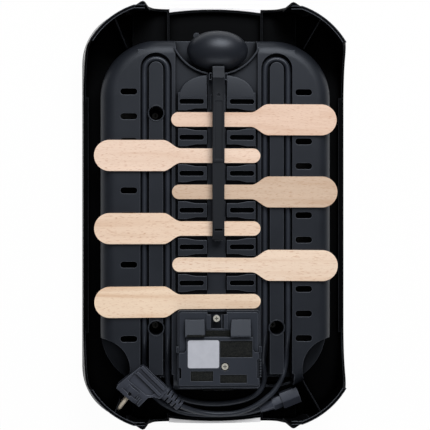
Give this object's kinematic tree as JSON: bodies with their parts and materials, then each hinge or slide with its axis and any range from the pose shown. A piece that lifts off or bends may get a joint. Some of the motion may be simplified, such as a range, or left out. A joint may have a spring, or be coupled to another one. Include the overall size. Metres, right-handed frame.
{
  "type": "crepe maker",
  "caption": "Party crepe maker lying upside down on its cooking plate: leg shells round a vented tray that stores wooden spatulas, a ladle and a coiled mains cord.",
  "frame": {"origin": "centre of the footprint at the rim of the cooking plate, which faces down", "axes": "+Z out of the underside towards the feet, +Y along the length towards the ladle's bowl, +X across"},
  "size_m": [0.3376, 0.5276, 0.105],
  "materials": {
    "satin_plastic": "fine satin moulding",
    "body_plastic": "gloss black moulding",
    "trim_plastic": "silver lacquer",
    "plate_coating": "nonstick coated aluminium casting",
    "sheath_steel": "heat-tinted tube",
    "sheet_steel": "pressed sheet",
    "cord_rubber": "smooth cord jacket",
    "label_foil": "bare foil plate",
    "screw_steel": "plated screw",
    "pin_brass": "turned pin",
    "pad_rubber": "moulded edging",
    "plug_rubber": "moulded plug",
    "ladle_plastic": "satin nylon",
    "beech": "bare beech"
  },
  "bodies": {
    "root": {"storage_tray": "satin_plastic", "side_shell_left": "body_plastic", "side_shell_right": "body_plastic", "end_shell_top": "body_plastic", "end_shell_bottom": "body_plastic", "handle_trim_top": "trim_plastic", "handle_trim_bottom": "trim_plastic", "plate_collar": "body_plastic", "cooking_plate": "plate_coating", "heating_element": "sheath_steel", "element_brackets": "sheet_steel", "heat_shield": "sheet_steel", "thermostat": "sheet_steel", "thermal_fuse": "sheet_steel", "internal_wiring": "cord_rubber", "control_housing": "satin_plastic", "housing_cover": "satin_plastic", "rating_plate": "label_foil", "housing_screws": "screw_steel", "appliance_inlet": "body_plastic", "inlet_pins": "pin_brass", "case_screws": "screw_steel", "foot_pads": "pad_rubber", "ladle_clips": "satin_plastic", "mains_cord": "cord_rubber", "plug_body": "plug_rubber", "plug_pins": "pin_brass", "plug_strain_relief": "plug_rubber", "connector_body": "plug_rubber", "connector_strain_relief": "plug_rubber"},
    "spatula_1_body": {"spatula_1": "beech"},
    "spatula_2_body": {"spatula_2": "beech"},
    "spatula_3_body": {"spatula_3": "beech"},
    "spatula_4_body": {"spatula_4": "beech"},
    "spatula_5_body": {"spatula_5": "beech"},
    "spatula_6_body": {"spatula_6": "beech"},
    "ladle_body": {"ladle": "ladle_plastic"}
  },
  "joints": [
    {"name": "spatula_1_slide", "type": "slide", "parent": "root", "child": "spatula_1_body", "axis": [1, 0, 0], "range_m": [0, 0.23]},
    {"name": "spatula_2_slide", "type": "slide", "parent": "root", "child": "spatula_2_body", "axis": [-1, 0, 0], "range_m": [0, 0.23]},
    {"name": "spatula_3_slide", "type": "slide", "parent": "root", "child": "spatula_3_body", "axis": [1, 0, 0], "range_m": [0, 0.23]},
    {"name": "spatula_4_slide", "type": "slide", "parent": "root", "child": "spatula_4_body", "axis": [-1, 0, 0], "range_m": [0, 0.23]},
    {"name": "spatula_5_slide", "type": "slide", "parent": "root", "child": "spatula_5_body", "axis": [0.9999, -0.0122, 0], "range_m": [0, 0.23]},
    {"name": "spatula_6_slide", "type": "slide", "parent": "root", "child": "spatula_6_body", "axis": [-1, -0.0052, 0], "range_m": [0, 0.23]},
    {"name": "ladle_lift", "type": "slide", "parent": "root", "child": "ladle_body", "axis": [0, 0, 1], "range_m": [0, 0.08]}
  ]
}
